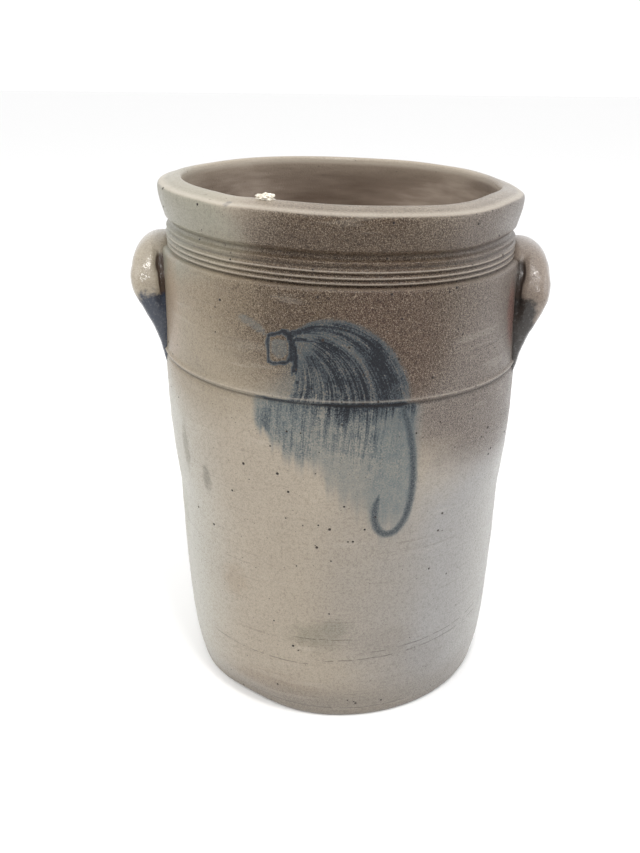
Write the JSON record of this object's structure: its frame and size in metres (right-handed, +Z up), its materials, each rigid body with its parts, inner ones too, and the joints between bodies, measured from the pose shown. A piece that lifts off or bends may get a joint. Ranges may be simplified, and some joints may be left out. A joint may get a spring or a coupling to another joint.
{
  "type": "butter crock",
  "caption": "Tall salt-glazed stoneware butter crock with a flared banded rim, fine beads, a tooled ridge, lug handles and blue brushed slip.",
  "frame": {"origin": "centre of the base, on the surface the crock stands on", "axes": "+Z up along the crock's axis, handles on -X and +X, -Y towards the decorated front"},
  "size_m": [0.2398, 0.21, 0.3077],
  "materials": {
    "body_stoneware": "salt glaze with orange-peel texture, brown and grey flashing, blue slip",
    "handle_stoneware": "salt glaze, grey, with dark blue slip on the ends",
    "wad_clay": "rough, matt, off-white"
  },
  "bodies": {
    "root": {"crock_body": "body_stoneware", "left_handle": "handle_stoneware", "right_handle": "handle_stoneware", "kiln_wad_fragment": "wad_clay"}
  },
  "joints": []
}
